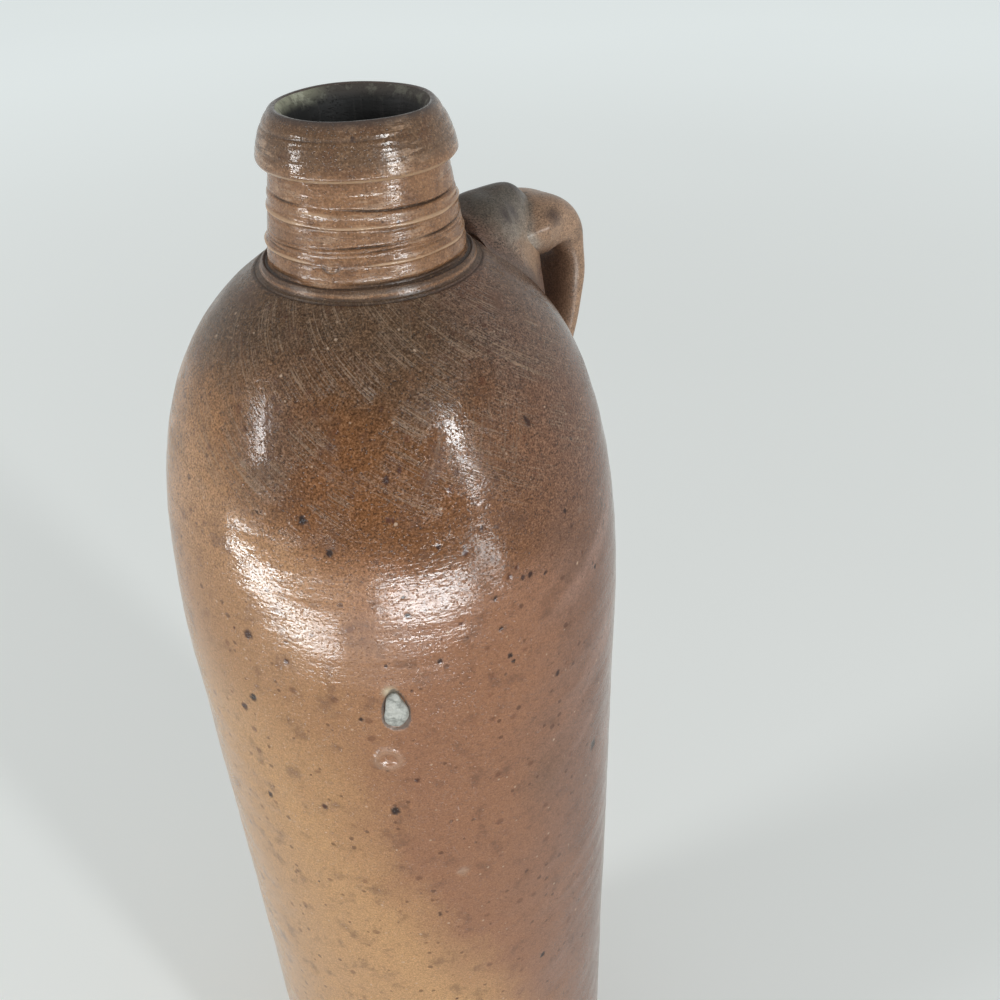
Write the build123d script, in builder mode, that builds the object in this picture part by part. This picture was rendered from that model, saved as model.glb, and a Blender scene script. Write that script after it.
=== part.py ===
from build123d import *
import os
from math import cos, radians, sin

# A salt-glazed stoneware crock jug: a turned wall on a pressed-in base, a domed shoulder,
# a luted neck with a coil round its root, a lip band, and an ear handle on one shoulder.
# Millimetres. Z is up, the jug's axis is Z, the foot stands at Z = 0 and the handle is on +X.

# Vessel sizes
total_height = 300.0
body_radius = 44.0
wall = 6.5
base_thickness = 9.0
base_lap = 2.5
heel_round = 1.5
shoulder_height = 74.5
joint_bevel = 4.0

# Neck and lip sizes
neck_height = 25.5
neck_foot_radius = 16.9
neck_top_radius = 14.45
neck_foot_height = 1.3
bore_radius = 10.4
neck_seat_lap = 4.6
neck_seat_depth = 5.5
cordon_width = 1.8
cordon_height = 1.7
seat_margin = 0.3
lip_height = 8.5
lip_overhang = 1.9
lip_bulge_height = 2.3
crest_radius = 12.9
crest_round = 0.6
crest_step = 0.8
mouth_bevel_depth = 2.4
groove_radius = 0.8
groove_depth = 0.35
groove_heights = (4.6, 6.9, 12.6, 14.8)

# Handle sizes
handle_reach = 6.7
handle_top_rise = 4.4
handle_height = 32.9
handle_width = 14.5
handle_thickness = 5.4
ear_inset = 3.2
ear_lift = 2.4
ear_hang = 13.0
strap_steps = 6
root_gap = 0.6
root_length = 16.2
root_width = 22.0
root_depth = 27.0
root_face_width = 18.0
root_face_drop = 4.0
root_joint_width = 18.5
root_joint_drop = 0.6
root_thickness = 13.8
tail_stand = 3.9
tail_length = 13.0
tail_width = 17.0
tail_joint_width = 15.5
tail_end_width = 14.0
tail_end_thickness = 3.0

# Stone that fired out white in the clay
stone_half_width = 3.0
stone_half_height = 4.0
stone_depth = 4.0
stone_proud = 0.8
stone_round = 1.0
stone_rise = 11.0
stone_azimuth = -132.0

# Levels and radii that follow from the sizes above
neck_root_z = total_height - neck_height
shoulder_base_z = neck_root_z - shoulder_height
lip_base_z = total_height - lip_height
inner_radius = body_radius - wall
base_radius = inner_radius + base_lap
neck_seat_radius = bore_radius + neck_seat_lap
neck_seat_z = neck_root_z - neck_seat_depth
cordon_radius = neck_foot_radius + cordon_width
shoulder_top_radius = cordon_radius + seat_margin
lip_radius = neck_top_radius + lip_overhang
handle_radius = body_radius + handle_reach
handle_top_z = neck_root_z + handle_top_rise
stone_height = shoulder_base_z + stone_rise

os.makedirs("parts", exist_ok=True)


# The shoulder is one curve: upright where it leaves the wall, and lying well over at the neck.
# The two middle control points sit at fixed shares of the shoulder's own width and height.
def shoulder_curve(low, high):
    """Four control points of the shoulder from its low end to its high end."""
    width = low[0] - high[0]
    height = high[1] - low[1]
    upright = (low[0], low[1] + 0.604 * height)
    lying = (high[0] + 0.683 * width, low[1] + 0.859 * height)
    return low, upright, lying, high


def neck_radius(height):
    """Outer radius of the neck's cone at a height over the neck's root."""
    share = (height - neck_foot_height) / (neck_height - lip_height - neck_foot_height)
    return neck_foot_radius + share * (neck_top_radius - neck_foot_radius)


shoulder_outside = shoulder_curve(
    (body_radius, shoulder_base_z), (shoulder_top_radius, neck_root_z)
)
shoulder_inside = shoulder_curve(
    (inner_radius, shoulder_base_z + joint_bevel), (neck_seat_radius, neck_seat_z)
)

# Base: a flat slab, pressed up into the rebate at the foot of the wall
with BuildPart() as base_disc:
    with BuildSketch():
        Circle(base_radius)
    extrude(amount=base_thickness)
base_disc.part.label = "base_disc"

# Wall: a plain tube with a rounded heel, a rebate for the base and a bevelled top edge
with BuildPart() as body_wall:
    with BuildSketch(Plane.XZ):
        with BuildLine():
            Polyline(
                (base_radius, 0),
                (body_radius, 0),
                (body_radius, shoulder_base_z),
                (inner_radius, shoulder_base_z + joint_bevel),
                (inner_radius, base_thickness),
                (base_radius, base_thickness),
                close=True,
            )
        make_face()
    revolve(axis=Axis.Z)
    heel = body_wall.edges().group_by(Axis.Z)[0].sort_by(SortBy.RADIUS)[-1]
    fillet(heel, heel_round)
body_wall.part.label = "body_wall"

# The jug's outside below the neck as one full solid: what is luted on to it is cut to fit it
with BuildPart() as outside:
    with BuildSketch(Plane.XZ):
        with BuildLine():
            Polyline((body_radius, shoulder_base_z), (body_radius, 0), (0, 0), (0, neck_root_z))
            Line((0, neck_root_z), shoulder_outside[-1])
            Bezier(*shoulder_outside)
        make_face()
    revolve(axis=Axis.Z)


# Where the outside of the shoulder stands at a given height, found along its curve
def outside_radius(height):
    """Radius of the jug's outside at a height between the foot and the neck's root."""
    if height <= shoulder_base_z:
        return body_radius
    curve = Bezier(*shoulder_outside, mode=Mode.PRIVATE)
    low, high = 0.0, 1.0
    for _ in range(40):
        middle = (low + high) / 2
        if (curve @ middle).Y < height:
            low = middle
        else:
            high = middle
    return (curve @ low).X


# Stone: a small oval pebble that fired out of the clay, in a pit of its own shape,
# a little proud of the outside
stone_direction = (cos(radians(stone_azimuth)), sin(radians(stone_azimuth)), 0)
stone_floor_radius = outside_radius(stone_height) - stone_depth
stone_place = Plane(
    origin=Vector(*stone_direction) * stone_floor_radius + Vector(0, 0, stone_height),
    x_dir=(0, 0, 1),
    z_dir=stone_direction,
)
with BuildPart() as stone:
    with BuildSketch(stone_place):
        Ellipse(stone_half_height, stone_half_width)
    extrude(amount=stone_depth + stone_proud)
    crown = stone.faces().sort_by(Axis(stone_place.origin, stone_direction))[-1]
    fillet(crown.edges(), stone_round)
stone.part.label = "stone_inclusion"

# Shoulder: the dome between the wall and the neck, with a flat seat and a hole for the neck
with BuildPart() as shoulder:
    with BuildSketch(Plane.XZ):
        with BuildLine():
            Bezier(*shoulder_outside)
            Polyline(
                shoulder_outside[-1],
                (neck_seat_radius, neck_root_z),
                shoulder_inside[-1],
            )
            Bezier(*shoulder_inside)
            Line(shoulder_inside[0], shoulder_outside[0])
        make_face()
    revolve(axis=Axis.Z)
    with BuildSketch(stone_place):
        Ellipse(stone_half_height, stone_half_width)
    extrude(amount=stone_depth + wall, mode=Mode.SUBTRACT)
shoulder.part.label = "shoulder"

# Neck: a tube with a spigot that enters the shoulder, a foot on the seat, turning grooves,
# and a narrower stub at the top that carries the lip band and ends in the mouth's bevel
with BuildPart() as neck_tube:
    with BuildSketch(Plane.XZ):
        with BuildLine():
            Polyline(
                (bore_radius, neck_seat_z),
                (neck_seat_radius, neck_seat_z),
                (neck_seat_radius, neck_root_z),
                (neck_foot_radius, neck_root_z),
                (neck_foot_radius, neck_root_z + neck_foot_height),
                (neck_top_radius, lip_base_z),
                (crest_radius, lip_base_z),
                (crest_radius, total_height - crest_round),
                (crest_radius - crest_round, total_height),
                (bore_radius, total_height - mouth_bevel_depth),
                close=True,
            )
        make_face()
    revolve(axis=Axis.Z)
    with BuildSketch(Plane.XZ):
        with Locations(
            *[
                (neck_radius(height) + groove_radius - groove_depth, neck_root_z + height)
                for height in groove_heights
            ]
        ):
            Circle(groove_radius)
    revolve(axis=Axis.Z, mode=Mode.SUBTRACT)
neck_tube.part.label = "neck_tube"

# Cordon: the coil pressed round the neck's root, tooled to a bead
with BuildPart() as neck_cordon:
    with BuildSketch(Plane.XZ):
        with BuildLine():
            Polyline(
                (neck_foot_radius, neck_root_z + cordon_height / 2),
                (neck_foot_radius, neck_root_z),
                (cordon_radius, neck_root_z),
                (cordon_radius, neck_root_z + cordon_height / 2),
            )
            ThreePointArc(
                (cordon_radius, neck_root_z + cordon_height / 2),
                (neck_foot_radius + cordon_width / 2, neck_root_z + cordon_height),
                (neck_foot_radius, neck_root_z + cordon_height / 2),
            )
        make_face()
    revolve(axis=Axis.Z)
neck_cordon.part.label = "neck_cordon"

# Lip band: a collar round the top of the neck, sloping out to a rounded lower edge
bulge_z = lip_base_z + lip_bulge_height
with BuildPart() as lip_band:
    with BuildSketch(Plane.XZ):
        with BuildLine():
            Polyline(
                (lip_radius, bulge_z),
                (crest_radius + crest_round, total_height - crest_step),
                (crest_radius, total_height - crest_step),
                (crest_radius, lip_base_z),
                (lip_radius - lip_bulge_height / 2, lip_base_z),
            )
            ThreePointArc(
                (lip_radius - lip_bulge_height / 2, lip_base_z),
                (lip_radius - 0.12 * lip_bulge_height, lip_base_z + 0.4 * lip_bulge_height),
                (lip_radius, bulge_z),
            )
        make_face()
    revolve(axis=Axis.Z)
lip_band.part.label = "lip_band"


# Handle: oval sections along one line that leaves the root level, turns down and leans back in
root_start = cordon_radius + root_gap
root_joint_radius = root_start + root_length
root_joint_z = handle_top_z - root_joint_drop - root_thickness / 2
tail_joint_z = handle_top_z - handle_height
tail_joint_radius = outside_radius(tail_joint_z) + tail_stand
tail_end_z = tail_joint_z - tail_length
strap_line = Bezier(
    (root_joint_radius, 0, root_joint_z),
    (handle_radius - ear_inset, 0, root_joint_z + ear_lift),
    (handle_radius, 0, tail_joint_z + ear_hang),
    (tail_joint_radius, 0, tail_joint_z),
    mode=Mode.PRIVATE,
)
tail_line = Bezier(
    strap_line @ 1,
    strap_line @ 1 + (strap_line % 1) * tail_length / 2,
    (outside_radius(tail_end_z), 0, tail_end_z),
    mode=Mode.PRIVATE,
)


def across(line, share):
    """Plane square to a line of the handle, at a share of the way along it."""
    return Plane(origin=line @ share, x_dir=(0, 1, 0), z_dir=line % share)


# Root: the wad that is smeared on to the shoulder beside the neck. Its sections are
# (distance from the root's start, drop of the top, width, depth), before the strap's own first one.
root_sections = (
    (0, root_face_drop, root_face_width, root_depth),
    (root_length / 2, 0, root_width, root_depth),
)
with BuildPart() as handle_root:
    for distance, drop, width, depth in root_sections:
        centre = (root_start + distance, 0, handle_top_z - drop - depth / 2)
        with BuildSketch(Plane(origin=centre, x_dir=(0, 1, 0), z_dir=(1, 0, 0))):
            Ellipse(width / 2, depth / 2)
    with BuildSketch(across(strap_line, 0)):
        Ellipse(root_joint_width / 2, root_thickness / 2)
    loft()
    add(outside.part, mode=Mode.SUBTRACT)
handle_root.part.label = "handle_root"

# Strap: the ear itself, which thins quickly from the root's size to its own, and widens at the tail
with BuildPart() as handle_strap:
    for step in range(strap_steps + 1):
        share = step / strap_steps
        near_root = (1 - share) ** 3
        near_tail = share**3
        width = handle_width + near_root * (root_joint_width - handle_width)
        width = width + near_tail * (tail_joint_width - handle_width)
        thickness = handle_thickness + near_root * (root_thickness - handle_thickness)
        with BuildSketch(across(strap_line, share)):
            Ellipse(width / 2, thickness / 2)
    loft()
    add(outside.part, mode=Mode.SUBTRACT)
handle_strap.part.label = "handle_strap"

# Tail: the pad at the strap's lower end, pressed out on to the shoulder
tail_sections = (
    (0, tail_joint_width, handle_thickness),
    (0.5, tail_width, handle_thickness),
    (1, tail_end_width, tail_end_thickness),
)
with BuildPart() as handle_tail:
    for share, width, thickness in tail_sections:
        with BuildSketch(across(tail_line, share)):
            Ellipse(width / 2, thickness / 2)
    loft()
    add(outside.part, mode=Mode.SUBTRACT)
handle_tail.part.label = "handle_tail"

for piece in (
    base_disc,
    body_wall,
    shoulder,
    stone,
    neck_tube,
    neck_cordon,
    lip_band,
    handle_root,
    handle_strap,
    handle_tail,
):
    export_step(piece.part, f"parts/{piece.part.label}.step")
    print(piece.part.label, len(piece.part.solids()), round(piece.part.volume))
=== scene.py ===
# %% [markdown]
# # A salt-glazed stoneware jug
# The jug is a slim turned bottle of stoneware with a collared mouth and a small ear on one
# shoulder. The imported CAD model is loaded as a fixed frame. Every piece below takes its place
# from that frame and gets the uneven skin and the kiln colours that a fired pot has.

import bpy
import numpy as np
from mathutils import Matrix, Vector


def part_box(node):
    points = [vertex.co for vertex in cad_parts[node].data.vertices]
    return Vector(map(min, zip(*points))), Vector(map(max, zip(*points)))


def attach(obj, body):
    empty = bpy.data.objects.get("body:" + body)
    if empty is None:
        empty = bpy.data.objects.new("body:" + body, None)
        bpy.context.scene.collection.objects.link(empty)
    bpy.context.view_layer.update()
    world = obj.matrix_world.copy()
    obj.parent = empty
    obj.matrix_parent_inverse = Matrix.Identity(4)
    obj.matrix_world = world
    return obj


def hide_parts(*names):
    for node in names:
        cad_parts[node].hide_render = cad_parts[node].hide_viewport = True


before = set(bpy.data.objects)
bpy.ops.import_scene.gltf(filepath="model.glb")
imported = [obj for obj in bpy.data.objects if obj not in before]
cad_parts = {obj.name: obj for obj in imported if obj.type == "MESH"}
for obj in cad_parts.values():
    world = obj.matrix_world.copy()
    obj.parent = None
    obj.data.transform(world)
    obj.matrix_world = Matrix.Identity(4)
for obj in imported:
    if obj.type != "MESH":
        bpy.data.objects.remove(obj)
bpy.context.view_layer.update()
print("pieces in the frame:", ", ".join(sorted(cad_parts)))

# %% [markdown]
# Blender works in metres, and a potter thinks in millimetres. The shapes below are worked out
# in millimetres, and one helper brings them to metres when a mesh is made. The main levels and
# radii are read from the frame, so a change in the CAD model is followed here.

# %% Levels and radii from the frame, in millimetres
MM = 0.001


def corner(node, axis, end):
    """One coordinate of a CAD node's box in millimetres: end 0 is the low corner, 1 the high."""
    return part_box(node)[end]["xyz".index(axis)] / MM


body_radius = corner("body_wall", "x", 1)
shoulder_foot = corner("shoulder", "z", 0)
neck_root = corner("neck_cordon", "z", 0)
lip_foot = corner("lip_band", "z", 0)
jug_height = corner("neck_tube", "z", 1)
lip_radius = corner("lip_band", "x", 1)
cordon_radius = corner("neck_cordon", "x", 1)
cordon_top = corner("neck_cordon", "z", 1)
neck_seat = corner("neck_tube", "z", 0)
base_radius = corner("base_disc", "x", 1)
base_top = corner("base_disc", "z", 1)
wall = 6.5
inner_radius = body_radius - wall
bevel_top = shoulder_foot + 4.0
shoulder_top_radius = cordon_radius + 0.3
seat_radius = 15.0
bore_radius = 10.4
print(f"belly radius {body_radius:.1f}, shoulder from {shoulder_foot:.1f} to {neck_root:.1f} mm")

# %% [markdown]
# The camera stands close to the jug and looks down on its mouth, so the belly runs away from
# the lens and seems to taper. Such strong perspective comes from a short distance, not from
# the jug, and only a camera at the true distance can show it. The camera is placed by its
# distance, height and turn, and three rotations are chained to aim it.

# %% Camera
camera_azimuth = -127.0
camera_distance = 166.5
camera_height = 338.5
camera_pitch = 34.88
camera_yaw = 7.11
camera_roll = -2.1


def beside(azimuth, distance, height):
    """A point in metres at an azimuth in degrees, a distance from the axis and a height in mm."""
    turn = np.radians(azimuth)
    return np.array((distance * np.cos(turn), distance * np.sin(turn), height)) * MM


camera_data = bpy.data.cameras.new("camera")
camera_data.sensor_width = 36.0
camera_data.lens = 36.65
camera_data.clip_start = 0.01
camera = bpy.data.objects.new("camera", camera_data)
bpy.context.scene.collection.objects.link(camera)
heading = camera_azimuth + 180 - camera_yaw
camera.matrix_world = (
    Matrix.Translation(beside(camera_azimuth, camera_distance, camera_height))
    @ Matrix.Rotation(np.radians(heading - 90), 4, "Z")
    @ Matrix.Rotation(np.radians(90 - camera_pitch), 4, "X")
    @ Matrix.Rotation(np.radians(camera_roll), 4, "Z")
)
bpy.context.scene.camera = camera
print("camera at", [round(x, 3) for x in camera.matrix_world.translation])

# %% [markdown]
# Every piece of the jug is a grid of points that closes on itself: the columns run round the
# piece, and the rows either run round too, as on a ring, or end in two closed tips, as on a
# pebble. One function turns such a grid into a mesh. It could be done with a screw modifier,
# but then the surface would be perfectly round, and this pot is not.

# %% From a grid of points to a mesh


def lattice(name, points, ring=True, sharp=40.0, **marks):
    """Makes a closed mesh from points[row, column] in mm.

    Neighbouring points make quads, and the last column joins the first. With ring, the last
    row joins the first as well. Without it, each end row is closed by a fan to its middle.
    If the volume comes out negative, all faces are turned. Each mark is a value per point,
    kept as an attribute of the mesh.
    """
    rows, columns = points.shape[:2]
    index = np.arange(rows * columns).reshape(rows, columns)
    lower = index if ring else index[:-1]
    upper = np.roll(index, -1, 0) if ring else index[1:]
    corners = (lower, np.roll(lower, -1, 1), np.roll(upper, -1, 1), upper)
    quads = np.stack(corners, axis=-1).reshape(-1, 4)
    spots = points.reshape(-1, 3)
    tips = np.empty((0, 3), int)
    if not ring:
        spots = np.vstack((spots, points[0].mean(0), points[-1].mean(0)))
        first, last = rows * columns, rows * columns + 1
        low_fan = np.stack((np.roll(index[0], -1), index[0], np.full(columns, first)), -1)
        high_fan = np.stack((index[-1], np.roll(index[-1], -1), np.full(columns, last)), -1)
        tips = np.vstack((low_fan, high_fan))
    triangles = np.vstack((quads[:, :3], quads[:, [0, 2, 3]], tips))
    a, b, c = (spots[triangles[:, i]] for i in range(3))
    if np.einsum("ij,ij->i", a, np.cross(b, c)).sum() < 0:
        quads, tips = quads[:, ::-1], tips[:, ::-1]

    mesh = bpy.data.meshes.new(name)
    mesh.vertices.add(len(spots))
    mesh.vertices.foreach_set("co", (spots * MM).astype(np.float32).ravel())
    loops = np.concatenate((quads.ravel(), tips.ravel()))
    starts = np.append(np.arange(len(quads)) * 4, len(quads) * 4 + np.arange(len(tips)) * 3)
    mesh.loops.add(len(loops))
    mesh.loops.foreach_set("vertex_index", loops.astype(np.int32))
    mesh.polygons.add(len(starts))
    mesh.polygons.foreach_set("loop_start", starts.astype(np.int32))
    mesh.update(calc_edges=True)
    mesh.validate()
    for mark_name, values in marks.items():
        flat = np.broadcast_to(values, (rows, columns)).ravel()
        if not ring:
            flat = np.append(flat, (np.mean(flat[:columns]), np.mean(flat[-columns:])))
        attribute = mesh.attributes.new(mark_name, "FLOAT", "POINT")
        attribute.data.foreach_set("value", flat.astype(np.float32))
    mesh.shade_smooth()
    mesh.set_sharp_from_angle(angle=np.radians(sharp))
    piece = bpy.data.objects.new(name, mesh)
    bpy.context.scene.collection.objects.link(piece)
    print(f"{name}: {2 * len(quads) + len(tips)} triangles")
    return piece


def stand_for(piece, node):
    """The piece takes the CAD node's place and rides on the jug's one body."""
    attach(piece, "root")
    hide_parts(node)


# %% [markdown]
# A hand-turned pot is never quite round. Slow swellings and flats are sums of a few cosine
# waves: a whole number of lobes round the jug, so that the surface closes behind, and a
# wavelength up the jug. The phases come from a seeded generator, so each run is the same.
# Single marks are bells, which fade out softly from a heart.

# %% Unevenness of a hand-turned wall


def wobble(azimuth, height, waves, seed):
    """Mean of cosine waves, between -1 and 1: cos(lobes x azimuth + height / length + phase)."""
    phases = np.random.default_rng(seed).uniform(0, 2 * np.pi, len(waves))
    total = 0.0
    for (lobes, length), phase in zip(waves, phases):
        total = total + np.cos(lobes * azimuth + 2 * np.pi * height / length + phase)
    return total / len(waves)


def lobed(azimuth, counts, seed):
    """A wobble that only runs round, with one wave for each count of lobes."""
    return wobble(azimuth, 0, [(count, 1) for count in counts], seed)


def bell(way, power=2):
    """e to the minus power of the way from a heart: 1 there, and nearly 0 at a way of 2."""
    return np.exp(-(way**power))


def distance_from(azimuth, height, spot_azimuth, spot_height, half_width, half_height):
    """Distance from a spot on the outside, where 1 is the edge of the spot's oval."""
    turn = azimuth - np.radians(spot_azimuth)
    turn = (turn + np.pi) % (2 * np.pi) - np.pi
    return np.hypot(body_radius * turn / half_width, (height - spot_height) / half_height)


# %% [markdown]
# Some flaws have a place of their own on this jug: a pebble that burst out white, a blister
# that broke in the kiln, a chip, and the larger spots where iron in the clay melted through.
# They are kept as a short list of azimuths and heights. Smaller spots are scattered by a
# seeded generator, since no two jugs have them alike: over the far side, over the near side,
# and once more on the shoulder, where they lie densest.

# %% Flaws in the skin
stone_azimuth = -132.0
stone_level = shoulder_foot + 11.0
stone_half_width = 2.1
stone_half_height = 4.2
stone_pinch = 0.2
blister = (-135.0, 199.0)
blister_radius = 2.1
chip = (-120.0, 164.0)
# azimuth, height, half width and half height of the smoke beside the handle's root
smoke_by_root = (-38.0, 267.0, 28.0, 11.0)
smoke_spots = ((1.0, (-158, 257, 7, 9)), (1.0, smoke_by_root), (0.6, (-96, 182, 6, 8)))
# azimuth in degrees, height in mm, radius in mm
placed_spots = (
    (-149, 247, 1.1), (-143, 242, 0.9), (-166, 223, 1.4), (-156, 220, 0.8),
    (-172, 204, 1.2), (-168, 208, 1.2), (-140, 209, 0.7), (-133, 221, 0.5),
    (-103, 233, 0.8), (-107, 230, 0.7), (-108, 243, 0.7), (-91, 207, 0.9),
    (-74, 176, 1.7), (-135, 185, 1.4), (-153, 184, 1.0), (-170, 181, 1.1),
    (-129, 193, 0.8), (-127, 152, 0.8), (-97, 122, 1.1), (-102, 156, 0.7),
)
scatter = np.random.default_rng(11)


def scattered(count, azimuths, heights, radii):
    """So many spots, drawn evenly between two azimuths, two heights and two radii."""
    return np.stack([scatter.uniform(*ends, count) for ends in (azimuths, heights, radii)], 1)


far_spots = scattered(70, (-60, 180), (8, 250), (0.5, 1.3))
near_spots = scattered(30, (-180, -60), (8, 255), (0.3, 0.6))
shoulder_spots = scattered(26, (-130, -60), (215, 258), (0.5, 0.9))
iron_spots = np.vstack((placed_spots, far_spots, near_spots, shoulder_spots))


def iron_mask(azimuth, height):
    """How near the closest iron spot is: 1 at a spot's heart, falling off as a bell."""
    mask = np.zeros(np.broadcast(azimuth, height).shape)
    for spot_azimuth, spot_height, radius in iron_spots:
        away = distance_from(azimuth, height, spot_azimuth, spot_height, radius, 1.15 * radius)
        mask = np.maximum(mask, bell(away))
    return mask


def stone_distance(azimuth, height):
    """Distance from the pebble, where 1 is the pebble's own edge, narrower at its top."""
    share = np.clip((height - stone_level) / stone_half_height, -1, 1)
    half_width = stone_half_width * (1 - stone_pinch * share)
    spot = (stone_azimuth, stone_level, half_width, stone_half_height)
    return distance_from(azimuth, height, *spot)


def blister_distance(azimuth, height):
    """Distance from the blister, where 1 is the crest of its ring."""
    return distance_from(azimuth, height, *blister, blister_radius, blister_radius)


def relief(azimuth, height):
    """How far the skin lies inside the true turned shape, in mm, negative inwards.

    Slow swellings and dents of finger size, kept below the true shape by a soft minimum, and
    faint throwing rings that climb as a screw, then the pit round the pebble, the broken
    blister, the chip and a shallow pit at every iron spot.
    """
    swell = 0.16 * wobble(azimuth, height, ((2, 310), (3, 150), (1, 95)), 3)
    dents = 0.12 * wobble(azimuth, height, ((5, 70), (7, -43), (9, 31), (4, -29)), 5)
    slow = -0.03 * np.logaddexp(0, (0.13 - swell - dents) / 0.03)
    patchy = 0.5 + 0.5 * wobble(azimuth, height, ((3, 60), (2, -85)), 8)
    screw = np.cos(2 * np.pi * height / 7.6 + azimuth)
    fine_screw = np.cos(2 * np.pi * height / 3.1 + 2 * azimuth)
    rings = patchy * (0.04 * (screw - 1) + 0.015 * (fine_screw - 1))
    away = stone_distance(azimuth, height)
    pit = 0.04 * bell((away - 1.3) / 0.25) - 0.5 / (1 + (away / 0.97) ** 12)
    ring = blister_distance(azimuth, height)
    burst = 0.3 * bell((ring - 1) / 0.3) - 0.25 * bell(ring / 0.55)
    broken = -0.35 * bell(distance_from(azimuth, height, *chip, 1.6, 1.2), 4)
    return slow + rings + pit + burst + broken - 0.06 * iron_mask(azimuth, height)


print("iron spots:", len(iron_spots))

# %% [markdown]
# The belly and the shoulder share one outline: straight up to the shoulder's foot, then one
# curve that lies well over at the neck. The same control points as in the CAD model give it.
# The columns gather towards the side with the flaws, where the small shapes need them, and
# the belly and the shoulder use the same columns, so no step shows where they join.

# %% The outline of the outside


def bezier(points, share):
    """Cubic curve: the four points weighted by (1-t)^3, 3t(1-t)^2, 3t^2(1-t) and t^3."""
    t = np.asarray(share, float)[..., None]
    a, b, c, d = np.asarray(points, float)
    return a * (1 - t) ** 3 + 3 * b * t * (1 - t) ** 2 + 3 * c * t**2 * (1 - t) + d * t**3


def shoulder_curve(low, high):
    """Four control points of the shoulder, at fixed shares of its own width and height."""
    width, height = low[0] - high[0], high[1] - low[1]
    upright = (low[0], low[1] + 0.604 * height)
    lying = (high[0] + 0.683 * width, low[1] + 0.859 * height)
    return low, upright, lying, high


def outward(line):
    """Unit normals of a line of (radius, height) that climbs with the outside on its right."""
    slope = np.gradient(line, axis=0)
    slope /= np.linalg.norm(slope, axis=1, keepdims=True)
    return np.stack((slope[:, 1], -slope[:, 0]), axis=1)


def path(*stops):
    """Points on straight lines through stops of (radius, height, count), without the last.

    The count is the number of points from one stop to just before the next.
    """
    lines = []
    for start, end in zip(stops, stops[1:]):
        share = np.linspace(0, 1, start[2], endpoint=False)[:, None]
        lines.append(np.array(start[:2]) * (1 - share) + np.array(end[:2]) * share)
    return np.vstack(lines)


def arc(radius, height, size, degrees):
    """Points on an arc round a centre (radius, height): cosine outwards and sine upwards."""
    turns = np.radians(degrees)
    return np.stack((radius + size * np.cos(turns), height + size * np.sin(turns)), 1)


def around(count):
    """So many azimuths, evenly spread."""
    return np.linspace(-np.pi, np.pi, count, endpoint=False)


def turned(line, azimuth):
    """Points of a line of (radius, height), or of one such line per column, swung round."""
    radius, height = line[..., 0], line[..., 1]
    if radius.ndim == 1:
        radius, height = radius[:, None], height[:, None]
    radius, height = np.broadcast_arrays(radius, height + 0 * azimuth)
    return np.stack((radius * np.cos(azimuth), radius * np.sin(azimuth), height), axis=-1)


shoulder_outside = shoulder_curve(
    (body_radius, shoulder_foot), (shoulder_top_radius, neck_root)
)
shoulder_inside = shoulder_curve((inner_radius, bevel_top), (seat_radius, neck_seat))
# the azimuths lie twice as close on the flawed side as they would evenly spread
azimuths = around(380)
azimuths = azimuths - 0.5 * np.sin(azimuths - np.radians(stone_azimuth))
print(f"{len(azimuths)} columns round the belly")

# %% [markdown]
# The belly is a tube with a rounded heel, a rebate for the base and a bevelled top. Its
# outside is pushed in by the relief along the outline's normal. Inside, the potter's fingers
# left deeper rings. The marks for the shader are worked out by the same functions as the
# shape, so that colour and form stay together.

# %% Belly


def skinned(line, depth):
    """Swings a line of (radius, height) round the axis and presses the relief into its outside.

    The outside is the line's first points, one for each depth. Each moves along the outline's
    normal by the relief at its azimuth and height, times its own depth.
    """
    outside = line[: len(depth)]
    push = depth[:, None] * relief(azimuths[None, :], outside[:, 1:])
    moved = np.repeat(line[:, None, :], len(azimuths), axis=1)
    moved[: len(depth)] += push[..., None] * outward(outside)[:, None, :]
    return turned(moved, azimuths)


def skin_marks(line, outside_rows):
    """Masks for the shader on the outside: iron spots, pale crests, dark rims with painted shade
    round the pebble, and smoke.
    """
    azimuth, height = azimuths[None, :], line[:, 1:]
    away = stone_distance(azimuth, height)
    ring = blister_distance(azimuth, height)
    above = distance_from(azimuth, height, stone_azimuth - 0.8, stone_level + 4.3, 1.3, 1.2)
    worn_chip = bell(distance_from(azimuth, height, *chip, 1.3, 0.9), 4)
    smoke = sum(share * bell(distance_from(azimuth, height, *spot)) for share, spot in smoke_spots)
    shown = (np.arange(len(line)) < outside_rows)[:, None]
    return {
        "iron": shown * iron_mask(azimuth, height),
        "rim": shown * np.maximum(0.5 * bell((ring - 1) / 0.3), worn_chip),
        "pit_rim_and_shade": shown * bell((away - 1.06) / 0.17),
        "lime": shown * bell(above, 4),
        "smoke": shown * smoke,
        "inside": ~shown,
    }


heel_round = 1.5
heel_fade = 8.0
wall_rows = 205
finger_pitch = 11.0
heel = arc(body_radius - heel_round, heel_round, heel_round, np.linspace(-90, 0, 7)[:-1])
climb = 1 - (1 - np.linspace(0, 1, wall_rows)) ** 1.25
wall_heights = heel_round + climb * (shoulder_foot - heel_round)
belly_outside = np.vstack((heel, np.stack((np.full(wall_rows, body_radius), wall_heights), 1)))
belly_inside = path(
    (body_radius, shoulder_foot, 4),
    (inner_radius, bevel_top, 34),
    (inner_radius, base_top, 2),
    (base_radius, base_top, 3),
    (base_radius, 0.0, 3),
    (body_radius - heel_round, 0.0),
)[1:]
fingered = slice(5, 37)
finger_rings = np.sin(2 * np.pi * belly_inside[fingered, 1] / finger_pitch)
belly_inside[fingered, 0] += 0.35 * finger_rings
belly_line = np.vstack((belly_outside, belly_inside))
belly_depth = np.clip(belly_outside[:, 1] / heel_fade, 0, 1)
belly = lattice(
    "body_wall_clay",
    skinned(belly_line, belly_depth),
    **skin_marks(belly_line, len(belly_outside)),
)
stand_for(belly, "body_wall")

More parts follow.
